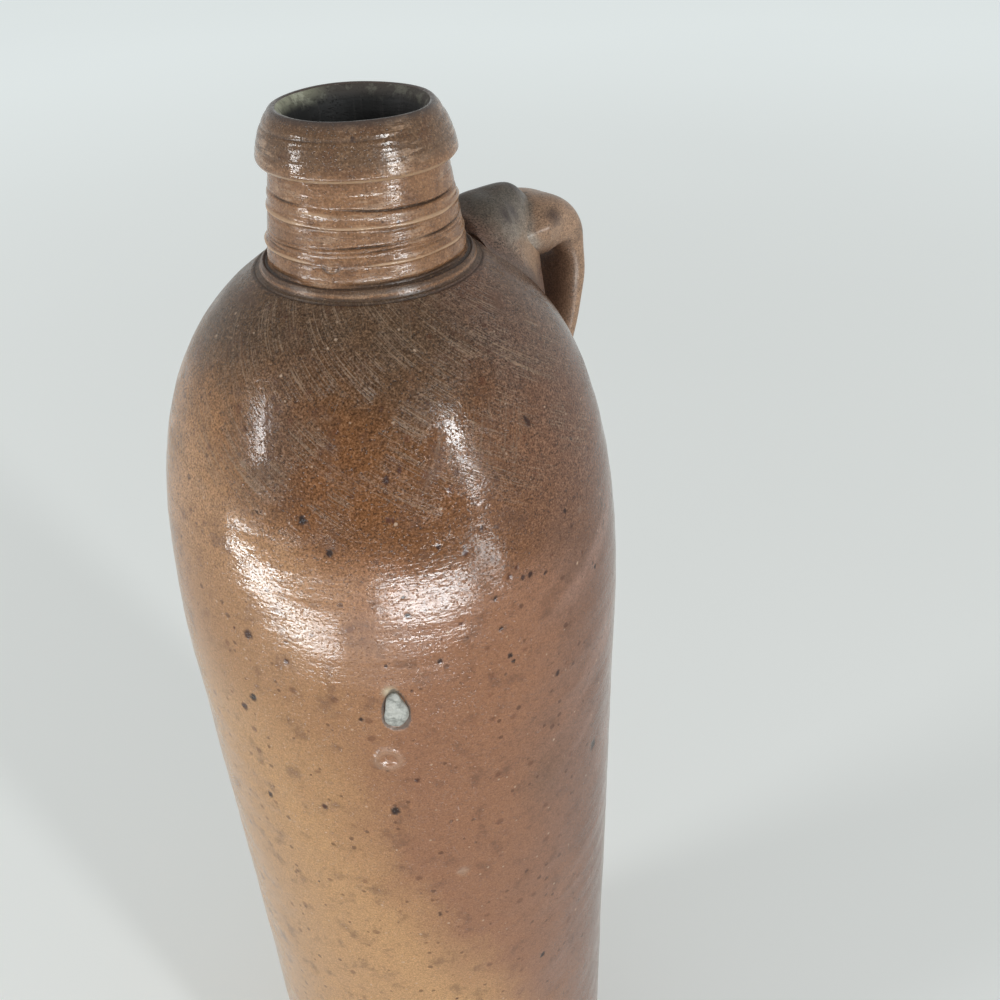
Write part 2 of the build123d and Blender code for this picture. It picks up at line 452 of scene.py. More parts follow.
# %% [markdown]
# The shoulder is the same kind of ring: the outside curve with the relief pressed in, the flat
# seat and the hole for the neck, and the inside curve. A tooled groove runs round just under
# the neck, where the potter cleaned up the joint. The pit of the pebble is in the relief.

# %% Shoulder
tooled_radius = shoulder_top_radius + 0.2
tooled_depth = 0.35
neck_fade = 2.0
dome = bezier(shoulder_outside, np.linspace(0, 1, 200))
seat = path(
    (shoulder_top_radius, neck_root, 4), (seat_radius, neck_root, 3), (seat_radius, neck_seat)
)[1:]
inside = bezier(shoulder_inside, np.linspace(1, 0, 36))
joint = path((inner_radius, bevel_top, 4), (body_radius, shoulder_foot))[1:]
shoulder_line = np.vstack((dome, seat, inside, joint))
shoulder_depth = np.clip((neck_root - dome[:, 1]) / neck_fade, 0, 1)
groove = np.zeros(len(shoulder_line))
groove[: len(dome)] = bell((dome[:, 0] - tooled_radius) / 0.24)
shoulder_line[: len(dome)] -= tooled_depth * groove[: len(dome), None] * outward(dome)
shoulder = lattice(
    "shoulder_clay",
    skinned(shoulder_line, shoulder_depth),
    groove=groove[:, None],
    **skin_marks(shoulder_line, len(dome)),
)
stand_for(shoulder, "shoulder")

# %% [markdown]
# The pebble is a closed cap of its own: rows run from its crown over the edge and back to a
# tip under the skin. Its outline is drop-shaped, narrower at the top, and its face is knobbly.

# %% Pebble in its pit
stone_floor = -2.2
stone_crown = 0.42
stone_turns = np.linspace(0, 2 * np.pi, 72, endpoint=False)
stone_rows = np.linspace(0.03, 0.97, 44)
spread = np.sin(np.pi * stone_rows)[:, None] ** 0.8
rise = np.cos(np.pi * stone_rows)[:, None]
outline = 0.95 + 0.06 * np.cos(3 * stone_turns + 0.7) + 0.04 * np.cos(5 * stone_turns + 0.4)
drop = 1 - stone_pinch * spread * np.sin(stone_turns)
across = stone_half_width * spread * outline * drop * np.cos(stone_turns)
along = stone_half_height * spread * outline * np.sin(stone_turns)
knobs = 0.2 * np.cos(2.1 * across + 1.0) * np.cos(1.7 * along)
knobs = knobs + 0.12 * np.cos(4.3 * along + across)
depth_of = np.where(rise > 0, stone_crown * rise**0.8 + knobs * rise, -stone_floor * rise)
where = np.radians(stone_azimuth)
out = np.array((np.cos(where), np.sin(where), 0.0))
side = np.array((-np.sin(where), np.cos(where), 0.0))
up = np.array((0.0, 0.0, 1.0))
stone_skin = float(relief(where - 0.12, stone_level))
pebble_points = out * (body_radius - 0.26 + stone_skin) + up * stone_level
for amount, way in ((across, side), (along, up), (depth_of, out)):
    pebble_points = pebble_points + amount[..., None] * way
# edge: a darker rim on the stone, partly its own colour and partly painted shade where it curves
# into its pit.
pebble = lattice("stone_inclusion_pebble", pebble_points, ring=False, edge=spread**6)
stand_for(pebble, "stone_inclusion")

# %% [markdown]
# The neck was turned on the wheel with a ribbed tool, so its rings rise and fall a little on
# the way round and fade out in places. Its outside is the CAD cone with these rings added: a
# few strong grooves and ridges, each with its own slant, and many fine lines.

# %% Neck
neck_foot_radius = 16.9
neck_top_radius = 14.45
neck_foot_height = 1.3
neck_tall = lip_foot - neck_root
stub_radius = 12.9
stub_top = jug_height - 5.0
front = np.radians(camera_azimuth)
# height over the neck's root, slant, depth (a ridge is negative) and half width, in mm
neck_rings = (
    (12.7, 0.7, 0.26, 0.22), (11.9, 0.7, -0.16, 0.50), (10.3, 0.3, -0.26, 0.34),
    (9.6, 0.3, 0.14, 0.34), (7.3, -0.2, 0.22, 0.20), (6.6, -0.2, 0.18, 0.16),
    (5.9, -0.2, 0.12, 0.18), (4.8, 0.1, -0.28, 0.30), (4.1, 0.1, 0.10, 0.30),
    (14.8, 0.2, 0.06, 0.30), (1.6, 0.0, 0.25, 0.60),
)
ring_depth_share = 1.3
# azimuth in degrees, height over the root, half width and half height of a chip in the neck
neck_chip_spot = (-149.0, 4.4, 1.3, 0.9)


def neck_cut(azimuth, height):
    """Depth of the turning marks in mm at a height over the neck's root.

    Each ring is a bell across its height. Its level swings with the azimuth by its slant, and
    its depth by the wobble. Fine lines are a sum of short waves up the neck.
    """
    cut = np.zeros(np.broadcast(azimuth, height).shape)
    for number, (level, slant, depth, half) in enumerate(neck_rings):
        swing = level - slant * np.sin(azimuth - front)
        swing = swing + 0.12 * lobed(azimuth, (3, 5, 11), 60 + number)
        patchy = np.clip(0.75 + 1.1 * lobed(azimuth, (1, 2, 4, 7), 20 + number), 0.1, 1.8)
        cut = cut + ring_depth_share * depth * patchy * bell((height - swing) / half)
    lines = wobble(azimuth, height, ((1, 0.9), (1, 1.3), (2, 2.1), (0, 0.55)), 40)
    torn = 0.6 + 0.4 * wobble(azimuth, height, ((5, 6), (9, -4), (14, 5), (3, 11)), 41)
    return cut + 0.035 * torn * lines


ring_azimuths = around(330)
neck_heights = np.linspace(0, neck_tall, 190)
neck_slope = np.clip((neck_heights - neck_foot_height) / (neck_tall - neck_foot_height), 0, 1)
neck_radii = neck_foot_radius + neck_slope * (neck_top_radius - neck_foot_radius)
neck_outside = np.stack((neck_radii, neck_root + neck_heights), 1)
neck_inside = path(
    (neck_top_radius, lip_foot, 3),
    (stub_radius, lip_foot, 5),
    (stub_radius, stub_top, 4),
    (bore_radius, stub_top, 46),
    (bore_radius, neck_seat, 4),
    (seat_radius, neck_seat, 4),
    (seat_radius, neck_root, 3),
    (neck_foot_radius, neck_root),
)[1:]
rows_under_lip = 7
neck_line = np.vstack((neck_outside, neck_inside))
neck_shown = len(neck_outside)
fade = np.clip(neck_heights / 0.6, 0, 1) * np.clip((neck_tall - neck_heights) / 0.4, 0, 1)
cuts = fade[:, None] * neck_cut(ring_azimuths[None, :], neck_heights[:, None])
chip_azimuth, chip_level, chip_half_width, chip_half_height = neck_chip_spot
chip_turn = neck_foot_radius * (ring_azimuths - np.radians(chip_azimuth))[None, :]
chip_rise = neck_heights[:, None] - chip_level
neck_chip = np.hypot(chip_turn / chip_half_width, chip_rise / chip_half_height)
crescent = bell((neck_chip - 1) / 0.24) * np.clip(0.5 - 0.6 * chip_rise, 0, 1)
cuts = cuts + 0.26 * crescent - 0.2 * bell(neck_chip / 0.6)
# Painted shade at the neck's foot, where it meets the cordon. The ridges' negative values carry a
# painted highlight.
neck_foot_painted_shade = bell(neck_heights / 1.15, 4)[:, None]
uneven = 0.12 * (lobed(ring_azimuths, (1, 2, 3), 17) - 1)
moved = np.repeat(neck_line[:, None, :], len(ring_azimuths), 1)
moved[:neck_shown, :, 0] += uneven - cuts
neck_grooves_and_painted_light = np.zeros(moved.shape[:2])
neck_grooves_and_painted_light[:neck_shown] = np.clip(cuts / 0.4 + 0.7 * neck_foot_painted_shade, -1, 1)
neck = lattice(
    "neck_tube_clay",
    turned(moved, ring_azimuths),
    groove=neck_grooves_and_painted_light,
    inside=(np.arange(len(neck_line)) >= neck_shown + rows_under_lip)[:, None],
)
stand_for(neck, "neck_tube")

# %% [markdown]
# A coil of clay was pressed round the neck's root and tooled to a bead. Its section is a wave:
# a fillet that climbs the neck, a furrow, the bead, and a steep outer side that dips into the
# shoulder. The bead swells and sinks a little on its way round, as a tool leaves it.

# %% Cordon
cordon_rise = cordon_top - neck_root
cordon_sink = 0.3
cordon_root = neck_foot_radius - 0.6
cordon_out = np.linspace(0, 1, 60)
swelling = lobed(ring_azimuths, (2, 5, 9, 13), 23)
bead = bell((cordon_out - 0.66) / 0.18)[:, None]
fillet = bell(cordon_out / 0.34)[:, None]
outer_side = np.clip((1 - cordon_out) / 0.16, 0, 1)[:, None] ** 0.6
cordon_lift = cordon_rise * (0.38 + 0.42 * fillet + bead * (0.42 + 0.09 * swelling))
cordon_lift = (cordon_lift + cordon_sink) * outer_side - cordon_sink
cordon_reach = cordon_root + cordon_out[:, None] * (cordon_radius - 0.3 - cordon_root)
cordon_reach = cordon_reach + 0.06 * bead * (swelling - 1)
cordon_under = np.linspace(cordon_radius - 0.55, cordon_root, 8)[:, None] + 0 * swelling
under_level = np.full_like(cordon_under, neck_root - cordon_sink)
bead_radius = np.vstack((cordon_reach, cordon_under))
bead_level = np.vstack((neck_root + cordon_lift, under_level))
# The bead is painted dark all over, which in the furrow by the neck is painted shade. A paler band
# and a thin pale line on its outer side are painted highlight.
bead_painted_light_and_shade = np.ones(len(bead_radius))
bead_painted_light_and_shade[: len(cordon_out)] = 0.86 - 0.16 * bell((cordon_out - 0.7) / 0.16, 4)
bead_painted_light_and_shade[: len(cordon_out)] -= 0.5 * bell((cordon_out - 0.9) / 0.045)
cordon = lattice(
    "neck_cordon_bead",
    turned(np.stack((bead_radius, bead_level), -1), ring_azimuths),
    sharp=70.0,
    groove=bead_painted_light_and_shade[:, None],
)
stand_for(cordon, "neck_cordon")

# %% [markdown]
# The lip is a thick collar: a rounded lower edge that stands out from the neck, a long slope,
# a narrow crest and a bevel into the mouth. The whole section is drawn as one line, with the
# lower edge as an arc, so that the crest has no seam. Its slope carries turning lines too.

# %% Lip band
crest_radius = 12.75
lip_seat = stub_radius + 0.05
edge_round = 1.15
first_shown = 3
under = path((lip_seat, lip_foot, 8), (lip_radius - edge_round, lip_foot))
edge_degrees = np.linspace(-90, 20, 22)[1:]
edge = arc(lip_radius - edge_round, lip_foot + edge_round, edge_round, edge_degrees)
slope = bezier(
    (
        edge[-1],
        edge[-1] + np.array((-0.35, 1.6)),
        (crest_radius + 2.5, jug_height - 2.5),
        (crest_radius + 0.25, jug_height - 0.25),
    ),
    np.linspace(0, 1, 90)[1:],
)
crest = bezier(
    (
        slope[-1],
        (crest_radius, jug_height),
        (crest_radius - 0.4, jug_height),
        (crest_radius - 0.8, jug_height - 0.25),
    ),
    np.linspace(0, 1, 12)[1:],
)
mouth = bezier(
    (
        crest[-1],
        crest[-1] + np.array((-0.9, -0.6)),
        (bore_radius, (jug_height + stub_top) / 2),
        (bore_radius, stub_top),
    ),
    np.linspace(0, 1, 34)[1:-1],
)
seatings = path((bore_radius, stub_top, 4), (lip_seat, stub_top, 5), (lip_seat, lip_foot))
lip_line = np.vstack((under, edge, slope, crest, mouth, seatings))
lip_numbers = np.arange(len(lip_line))
shown_to = len(lip_line) - len(seatings)
mouth_from = shown_to - len(mouth)
lip_shown = (lip_numbers >= first_shown) & (lip_numbers < shown_to)
lip_over = (lip_line[:, 1] - lip_foot)[:, None]
lip_lines = wobble(ring_azimuths, lip_over, ((1, 1.1), (1, 1.7), (2, 2.6), (0, 0.8)), 31)
lip_furrow = bell((lip_over - 6.1 - 0.25 * np.sin(ring_azimuths - front)) / 0.3)
lip_cut = 0.05 * lip_lines + 0.12 * lip_furrow
lip_swell = 0.16 * (wobble(ring_azimuths, lip_over, ((1, 40), (2, 30), (4, 25)), 33) - 1)
lip_push = lip_shown[:, None] * (lip_swell - lip_cut)
mouth_rows = slice(mouth_from, shown_to)
mouth_fade = np.linspace(1, 0, len(mouth))[:, None]
mouth_dents = wobble(ring_azimuths, lip_over[mouth_rows], ((3, 5), (7, 4), (11, 3)), 35)
lip_push[mouth_rows] = mouth_fade * (lip_push[mouth_rows] + 0.15 * mouth_dents)
lip_moved = lip_line[:, None, :] + lip_push[..., None] * outward(lip_line)[:, None, :]
lip_moved[..., 1] = np.minimum(lip_moved[..., 1], jug_height)
lip_crest = bell((lip_line[:, 1] - jug_height) / 0.9) * (lip_line[:, 0] > crest_radius - 1)
# A thin pale line along the lip's lower edge is a painted highlight, where that edge catches the
# light. It goes into the groove mark with a negative sign.
lip_edge_painted_highlight = np.zeros((len(lip_line), 1))
lip_edge_painted_highlight[len(under) : len(under) + len(edge), 0] = bell((edge_degrees + 42) / 20)
lip = lattice(
    "lip_band_clay",
    turned(lip_moved, ring_azimuths),
    groove=np.clip(lip_cut / 0.3 - 1.1 * lip_edge_painted_highlight, -1, 1),
    inside=(lip_numbers >= mouth_from)[:, None],
    crest=lip_crest[:, None],
)
stand_for(lip, "lip_band")

# %% [markdown]
# The handle's root is a wad of clay smeared on to the shoulder, so it has no edge of its own.
# It is made as a hill on the shoulder: a height over the dome, along the dome's normal, that
# fades to nothing all round and then dips a hair under the skin. A round grid from the hill's
# heart outwards and back underneath closes it.

# %% Hills of clay on the shoulder
dome_fine = bezier(shoulder_outside, np.linspace(1, 0, 900))
dome_steps = np.linalg.norm(np.diff(dome_fine, axis=0), axis=1)
dome_length = np.append(0.0, np.cumsum(dome_steps))
dome_normal = -outward(dome_fine)
cake_rows = 150


def along_dome(length, table=dome_fine):
    """Radius and height of the dome, or its normal, at a length down from the neck in mm."""
    return [np.interp(length, dome_length, column) for column in table.T]


def on_dome(length, aside, lift, lean):
    """Points over the shoulder: a length down from the neck, a way aside and a lift, in mm.

    The length picks the place on the outline, and the way aside divided by the radius there is
    the azimuth. The relief moves the point along the outline's normal. The lift goes along the
    normal for a lean of 1 and straight up for a lean of 0.
    """
    radius, height = along_dome(length)
    normal_out, normal_up = along_dome(length, dome_normal)
    azimuth = aside / radius
    skin_lift = relief(azimuth, height) * np.clip((neck_root - height) / neck_fade, 0, 1)
    radius = radius + normal_out * (skin_lift + lean * lift)
    level = height + normal_up * (skin_lift + lean * lift) + (1 - lean) * lift
    return np.stack((radius * np.cos(azimuth), radius * np.sin(azimuth), level), -1)


def smeared(name, heart, reach_up, reach_down, half_width, hill, sink, lean, **marks):
    """A hill of clay on the shoulder as a closed cake.

    Rows run from the heart to the rim, then back underneath. Columns run round the heart. The
    rim is an oval with its own reach up, down and aside, and the underside lies in the wall.
    """
    turns = np.linspace(0, 2 * np.pi, 260, endpoint=False)
    share = np.append(np.linspace(0.01, 1, cake_rows), np.linspace(0.98, 0.05, 12))[:, None]
    reach = np.where(np.cos(turns) < 0, reach_up, reach_down)
    length = heart + share * reach * np.cos(turns)
    aside = share * half_width * np.sin(turns)
    buried = (np.arange(len(share)) >= cake_rows)[:, None]
    lift = np.where(buried, -1.6, hill(length, aside) - sink)
    values = {mark_name: rule(length, aside) for mark_name, rule in marks.items()}
    return lattice(name, on_dome(length, aside, lift, lean), ring=False, **values)


print(f"the dome is {dome_length[-1]:.1f} mm long from the neck to the belly")

# %% [markdown]
# The wad stands highest beside the neck, narrows on its way out and stops short of the ear's
# gap. Its colours come as marks: blurred spots, the smoke of the shoulder beside it, the skirt
# that has the shoulder's own colour, and the strap's tan, which reaches in along the flanks.

# %% Root of the handle
root_top = 279.3
root_heart_radius = 26.5
root_half_length = 17.0
root_end_radius = 37.8
root_narrowing = 0.4
root_near_width = 11.6
root_far_width = 8.4
root_drop = 12.0
root_fillet = 12.0
root_face = 0.8
root_dip = 6.0
tan_from_radius = 41.5
skirt_level = 269.0
# radius on the dome, way aside and size, in mm
wad_spots = ((33.6, -1.2, 1.6), (29.5, -6.0, 1.1), (27.0, -7.0, 1.2), (25.0, 4.0, 1.4))


def root_hill(length, aside):
    """Lift of the wad over the dome, in mm.

    It drops off as the power 2.5 of the way from its heart, which counts 1 at the half length
    and at the half width. One side is narrower than the other, and both narrow outwards. It
    dips towards the neck, and past its end radius it falls off with the square, so that the
    ear's gap stays open. A soft maximum with the bare dome makes the fillet.
    """
    radius, dome_level = along_dome(length)
    beyond = np.maximum(radius - root_heart_radius, 0) / root_half_length
    side_width = np.where(aside < 0, root_near_width, root_far_width)
    side_width = side_width * (1 - root_narrowing * np.clip((radius - 28) / 9, 0, 1))
    end_radius = root_end_radius - 0.3 * np.abs(aside)
    level = root_top - root_drop * (beyond**2 + (aside / side_width) ** 2) ** 1.25
    level = level - 3.0 * np.maximum(radius - end_radius, 0) ** 2
    level = level - root_dip * bell((radius - shoulder_top_radius) / 3.4)
    level = level + 0.3 * np.cos(0.5 * aside + 0.5) * np.cos(0.42 * length)
    lump = 1.4 * bell((radius - 34.2) / 3.0) * bell((aside + 1.2) / 3.6)
    lift = level + lump - dome_level
    near = np.clip(1 - np.abs(lift) / root_fillet, 0, 1)
    lift = np.maximum(lift, 0) + root_fillet / 4 * near**2
    return lift * (1 - bell(np.maximum(length, 0) / root_face))


def root_spots(length, aside):
    """Blurred dark spots on the wad, as bells of their own width."""
    radius, _ = along_dome(length)
    total = 0.0
    for at_radius, at_aside, size in wad_spots:
        total = total + bell(np.hypot(radius - at_radius, aside - at_aside) / size)
    return np.clip(total, 0, 1)


def root_smoke(length, aside):
    """The smoke on the shoulder beside the wad, carried on over the wad's foot."""
    radius, height = along_dome(length)
    return bell(distance_from(aside / radius, height, *smoke_by_root))


def root_skirt(length, aside):
    """Where the wad has the shoulder's own colour: on its thin rim and low on its flank."""
    hill = root_hill(length, aside)
    level = along_dome(length)[1] + hill
    return np.clip(np.maximum(1 - hill / 5, (skirt_level - level) / 8), 0, 1)


def root_ear(length, aside):
    """Where the wad is already the strap's tan: on its flanks, the more so towards the strap."""
    radius, _ = along_dome(length)
    return np.clip((radius + 1.3 * np.abs(aside) - tan_from_radius) / 7 + 0.5, 0, 1)


root = smeared(
    "handle_root_wad", 13.0, 13.0, 17.0, 22.0, root_hill, 0.06, 0.0,
    iron=root_spots, ear=root_ear, smoke=root_smoke, skirt=root_skirt,
)
stand_for(root, "handle_root")

# %% [markdown]
# The ear is a strap of clay pulled by hand. It is a section carried along a curve: a rounded
# flat oval, thick where it leaves the root and thin over the bend, with a knuckle on top and a
# shallow trough along its back. The curve is the CAD model's own, run on a little at both
# ends, so that the ends are buried in the root and tail.

# %% Strap of the handle
strap_points = ((35.5, 271.4), (47.5, 273.8), (50.7, 259.0), (43.2, 246.0))
strap_width, strap_thickness = 14.5, 5.4
root_joint_width, root_joint_thickness = 18.5, 13.8
run_on = 0.16
pull_in = 0.8
shares = np.linspace(-run_on, 1 + run_on, 220)[:, None]
inner_share = np.clip(shares, 0, 1)
fine_share = np.linspace(0, 1, 800)
fine_slope = np.gradient(bezier(strap_points, fine_share), fine_share[1], axis=0)
strap_slope = np.hstack([np.interp(inner_share, fine_share, column) for column in fine_slope.T])
strap_line = bezier(strap_points, inner_share[:, 0]) + (shares - inner_share) * strap_slope
strap_line[:, 0] -= pull_in * np.sin(np.pi * inner_share[:, 0]) ** 0.5
along_unit = strap_slope / np.linalg.norm(strap_slope, axis=1, keepdims=True)
strap_out = np.stack((-along_unit[:, 1], along_unit[:, 0]), 1)
near_root = (1 - inner_share) ** 3
widths = strap_width + near_root * (root_joint_width - strap_width) + inner_share**3
thicknesses = strap_thickness + near_root * (root_joint_thickness - strap_thickness)
buried = 1 - 0.2 * np.clip(-shares / run_on, 0, 1)
ring_turn = np.linspace(0, 2 * np.pi, 96, endpoint=False)
roundness = 2.0 + 0.5 * np.clip(shares / 0.3, 0, 1)
flat_cos = np.sign(np.cos(ring_turn)) * np.abs(np.cos(ring_turn)) ** (2 / roundness)
flat_sin = np.sign(np.sin(ring_turn)) * np.abs(np.sin(ring_turn)) ** (2 / roundness)
upper_side = np.clip(flat_sin, 0, 1)
pull = 1 + 0.03 * wobble(ring_turn, shares, ((1, 0.7), (2, 0.4), (3, 0.27)), 51)
strap_aside = buried * widths / 2 * flat_cos * pull
armpit = 1 + 0.5 * bell((shares - 0.22) / 0.2) * (flat_sin < 0)
flatter = 1 - 0.6 * near_root**2 * (flat_sin > 0)
trough = 0.5 * bell(strap_aside / 4.0) * upper_side * np.clip(inner_share * 3, 0, 1)
knuckle = 0.9 * bell((shares - 0.3) / 0.14) * upper_side
strap_lift = buried * thicknesses / 2 * flat_sin * pull * armpit * flatter - trough + knuckle
centre = strap_line[:, None, :] + strap_lift[..., None] * strap_out[:, None, :]
strap_grid = np.stack((centre[..., 0], strap_aside, centre[..., 1]), -1)
strap_grid[..., 0] = np.minimum(strap_grid[..., 0], corner("handle_strap", "x", 1))
ear_spot = bell((shares - 0.07) / 0.05) * bell((strap_aside + 8.0) / 1.4) * (flat_sin > 0)
tan_share = shares + np.abs(strap_aside) / 45
strap = lattice(
    "handle_strap_ear",
    strap_grid,
    ring=False,
    iron=ear_spot,
    ear=np.clip((tan_share - 0.09) / 0.14 + 0.5, 0, 1),
    # under: painted shade on the strap's inner face, partly the darker clay of the loop's inside.
    under=np.clip(-1.6 * flat_sin - 0.5, 0, 1),
)
stand_for(strap, "handle_strap")

# %% [markdown]
# Where the strap comes back to the shoulder, the potter pressed it down with a thumb. The tail
# is a second hill: steep under the strap, running out long below it, with the thumb's dimple.

# %% Tail of the handle
tail_level = 246.0
tail_heart = float(np.interp(-tail_level, -dome_fine[:, 1], dome_length))
tail_height = 6.4


def tail_hill(length, aside):
    """A bell aside, short above the strap's landing and long below it, less the thumb's dimple."""
    down = length - tail_heart
    hill = bell(down / np.where(down < 0, 4.2, 8.5)) * bell(np.abs(aside) / 8.8, 3)
    thumb = 1.5 * bell((down - 7.5) / 3.2) * bell(aside / 3.8)
    return tail_height * hill - thumb


tail = smeared(
    "handle_tail_pad", tail_heart + 3.0, 13.0, 19.0, 16.0, tail_hill, 0.15, 1.0,
    ear=lambda length, aside: np.clip(tail_hill(length, aside) / 5, 0, 1),
    # under: painted shade on the tail where the strap hangs over it.
    under=lambda length, aside: np.clip((tail_heart - length) / 4, 0, 1),
    skirt=lambda length, aside: np.clip(1 - tail_hill(length, aside) / 3.5, 0, 1),
)
stand_for(tail, "handle_tail")

# %% [markdown]
# The base was cut from the wheel with a twisted wire, which leaves shell-shaped arcs across
# the clay. They are a wave in the distance from a point outside the disc, pressed upwards, so
# that the jug still stands on its rim.

# %% Base
base_rows = np.linspace(0.012, 1, 110)[:, None]
wire_start = (-70.0, 25.0)
wire_pitch = 3.4
wire_depth = 0.36
plate_x = base_radius * base_rows * np.cos(around(240))
plate_y = base_radius * base_rows * np.sin(around(240))
from_wire = np.hypot(plate_x - wire_start[0], plate_y - wire_start[1])
arcs = wire_depth / 2 * (1 + np.cos(2 * np.pi * from_wire / wire_pitch))
wire_cut = np.clip((1 - base_rows) * 12, 0, 1) * (arcs + 0.5)
lower_face = np.stack((plate_x, plate_y, wire_cut), -1)
upper_face = np.stack((plate_x, plate_y, np.full_like(plate_x, base_top)), -1)[::-4]
base = lattice(
    "base_disc_clay",
    np.concatenate((lower_face, upper_face)),
    ring=False,
    cut=np.concatenate((np.clip(arcs / wire_depth, 0, 1), np.zeros(upper_face.shape[:2]))),
)
stand_for(base, "base_disc")

# %% [markdown]
# The finishes are built from nodes. What flows out of a node is wrapped as a signal, so that a
# formula can be written as a formula: each plus or times adds a Math node to the signal's own
# tree. It could be wired by hand in the editor, but then nobody could read it. Colours are
# written as they look on screen, and turned to the linear values of the renderer.

# %% Helpers for node trees


class Signal:
    """What flows out of a node's socket. Arithmetic with it adds Math nodes to its tree."""

    def __init__(self, socket):
        self.socket = socket
        self.tree = socket.id_data

    def to(self, target):
        """Links the signal to an input socket."""
        self.tree.links.new(self.socket, target)

    def __add__(self, other):
        return sums("ADD", self, other)

    def __sub__(self, other):
        return sums("SUBTRACT", self, other)

    def __rsub__(self, other):
        return sums("SUBTRACT", other, self)

    def __mul__(self, other):
        return sums("MULTIPLY", self, other)

    def __truediv__(self, other):
        return sums("DIVIDE", self, other)


def fill(node, inputs):
    """Gives each named or numbered input of a node a signal or a value."""
    for key, value in inputs.items():
        if isinstance(value, Signal):
            value.to(node.inputs[key])
        else:
            node.inputs[key].default_value = value


def put(tree, kind, inputs=(), **settings):
    """Adds a node, sets its properties and fills its inputs."""
    node = tree.nodes.new("ShaderNode" + kind)
    for key, value in settings.items():
        setattr(node, key, value)
    fill(node, dict(inputs))
    return node


def signals(node):
    """All that flows out of a node, by name."""
    return {socket.name: Signal(socket) for socket in node.outputs}


def tree_of(*values):
    """The node tree of the first signal among some values."""
    return next(value.tree for value in values if isinstance(value, Signal))


def sums(operation, first, second, clamp=False):
    """A Math node on two numbers or signals."""
    inputs = {0: first, 1: second}
    tree = tree_of(first, second)
    return Signal(put(tree, "Math", inputs, operation=operation, use_clamp=clamp).outputs[0])


def vectors(operation, first, second=(0.0, 0.0, 0.0)):
    """A Vector Math node. It gives a number where the operation makes one, or else a vector."""
    node = put(first.tree, "VectorMath", {0: first, 1: second}, operation=operation)
    return Signal(node.outputs[1 if operation in ("DOT_PRODUCT", "LENGTH") else 0])


def axis(vector, number):
    """One coordinate of a vector."""
    return Signal(put(vector.tree, "SeparateXYZ", {0: vector}).outputs[number])


def from_axis(vector):
    """The unit direction of a place from the jug's axis."""
    return vectors("NORMALIZE", vectors("MULTIPLY", vector, (1.0, 1.0, 0.0)))


def towards(vector, azimuth):
    """How far a vector reaches towards an azimuth in degrees."""
    turn = np.radians(azimuth)
    return vectors("DOT_PRODUCT", vector, (np.cos(turn), np.sin(turn), 0.0))


def step(value, start, end):
    """A soft step: 0 at start and 1 at end, and the other way round if end is lower."""
    inputs = {"Value": value, "From Min": start, "From Max": end}
    return Signal(put(value.tree, "MapRange", inputs, interpolation_type="SMOOTHSTEP").outputs[0])


def span(value, low, high):
    """Spreads a number from 0 to 1 over another range."""
    inputs = {"Value": value, "To Min": low, "To Max": high}
    return Signal(put(value.tree, "MapRange", inputs).outputs[0])


def paint(colour):
    """Three numbers from 0 to 255 on screen, as linear values. A signal stays as it is."""
    if isinstance(colour, Signal):
        return colour
    share = np.array(colour) / 255
    linear = np.where(share <= 0.04045, share / 12.92, ((share + 0.055) / 1.055) ** 2.4)
    return (*linear.tolist(), 1.0)


def mix(share, under, over, blend="MIX"):
    """Lays one colour over another by a share."""
    inputs = {0: share, 6: paint(under), 7: paint(over)}
    tree = tree_of(share, under, over)
    return Signal(put(tree, "Mix", inputs, data_type="RGBA", blend_type=blend).outputs[2])


def noise(vector, scale, detail=2.0, roughness=0.5, output=0):
    """Soft noise from about 0 to 1, with so many waves to a metre of its vector."""
    inputs = {"Vector": vector, "Scale": scale, "Detail": detail, "Roughness": roughness}
    return Signal(put(vector.tree, "TexNoise", inputs).outputs[output])


def cells_in(vector, scale, bend_scale, bend):
    """A cell texture whose place is shifted by a coloured noise, so no cell has straight sides."""
    shift = noise(vector, bend_scale, 1.0, output=1)
    bent = vectors("ADD", vector, vectors("MULTIPLY", shift, (bend, bend, bend)))
    return signals(put(vector.tree, "TexVoronoi", {"Vector": bent, "Scale": scale}))


def mark(where, name):
    """A value that was worked out with the mesh."""
    return Signal(put(where.tree, "Attribute", attribute_name=name).outputs["Fac"])


def effect(name, inputs, outputs):
    """An empty node group, its signals and its ends.

    It takes a Vector and named numbers, and gives numbers, or a colour where the name is Shade.
    """
    tree = bpy.data.node_groups.new(name, "ShaderNodeTree")
    tree.interface.new_socket("Vector", in_out="INPUT", socket_type="NodeSocketVector")
    for label, value in inputs.items():
        socket = tree.interface.new_socket(label, in_out="INPUT", socket_type="NodeSocketFloat")
        socket.default_value = value
    for label in outputs:
        kind = "NodeSocketColor" if label == "Shade" else "NodeSocketFloat"
        tree.interface.new_socket(label, in_out="OUTPUT", socket_type=kind)
    into = signals(tree.nodes.new("NodeGroupInput"))
    return tree, into, tree.nodes.new("NodeGroupOutput").inputs


def use(group, vector, **values):
    """Places a node group in the vector's tree with its own values, and gives its signals."""
    node = vector.tree.nodes.new("ShaderNodeGroup")
    node.node_tree = group
    fill(node, {"Vector": vector, **values})
    return signals(node)


# %% [markdown]
# Salt thrown into the kiln settles on the clay and melts to a thin skin with a peel like an
# orange's: small dimples in a net of smooth ridges. The effect is a group of nodes, because
# the belly, the neck and the handle share it. Dimples come from a cell texture, and noise
# makes the net uneven. It puts out a height in millimetres, a gloss and a mottling.

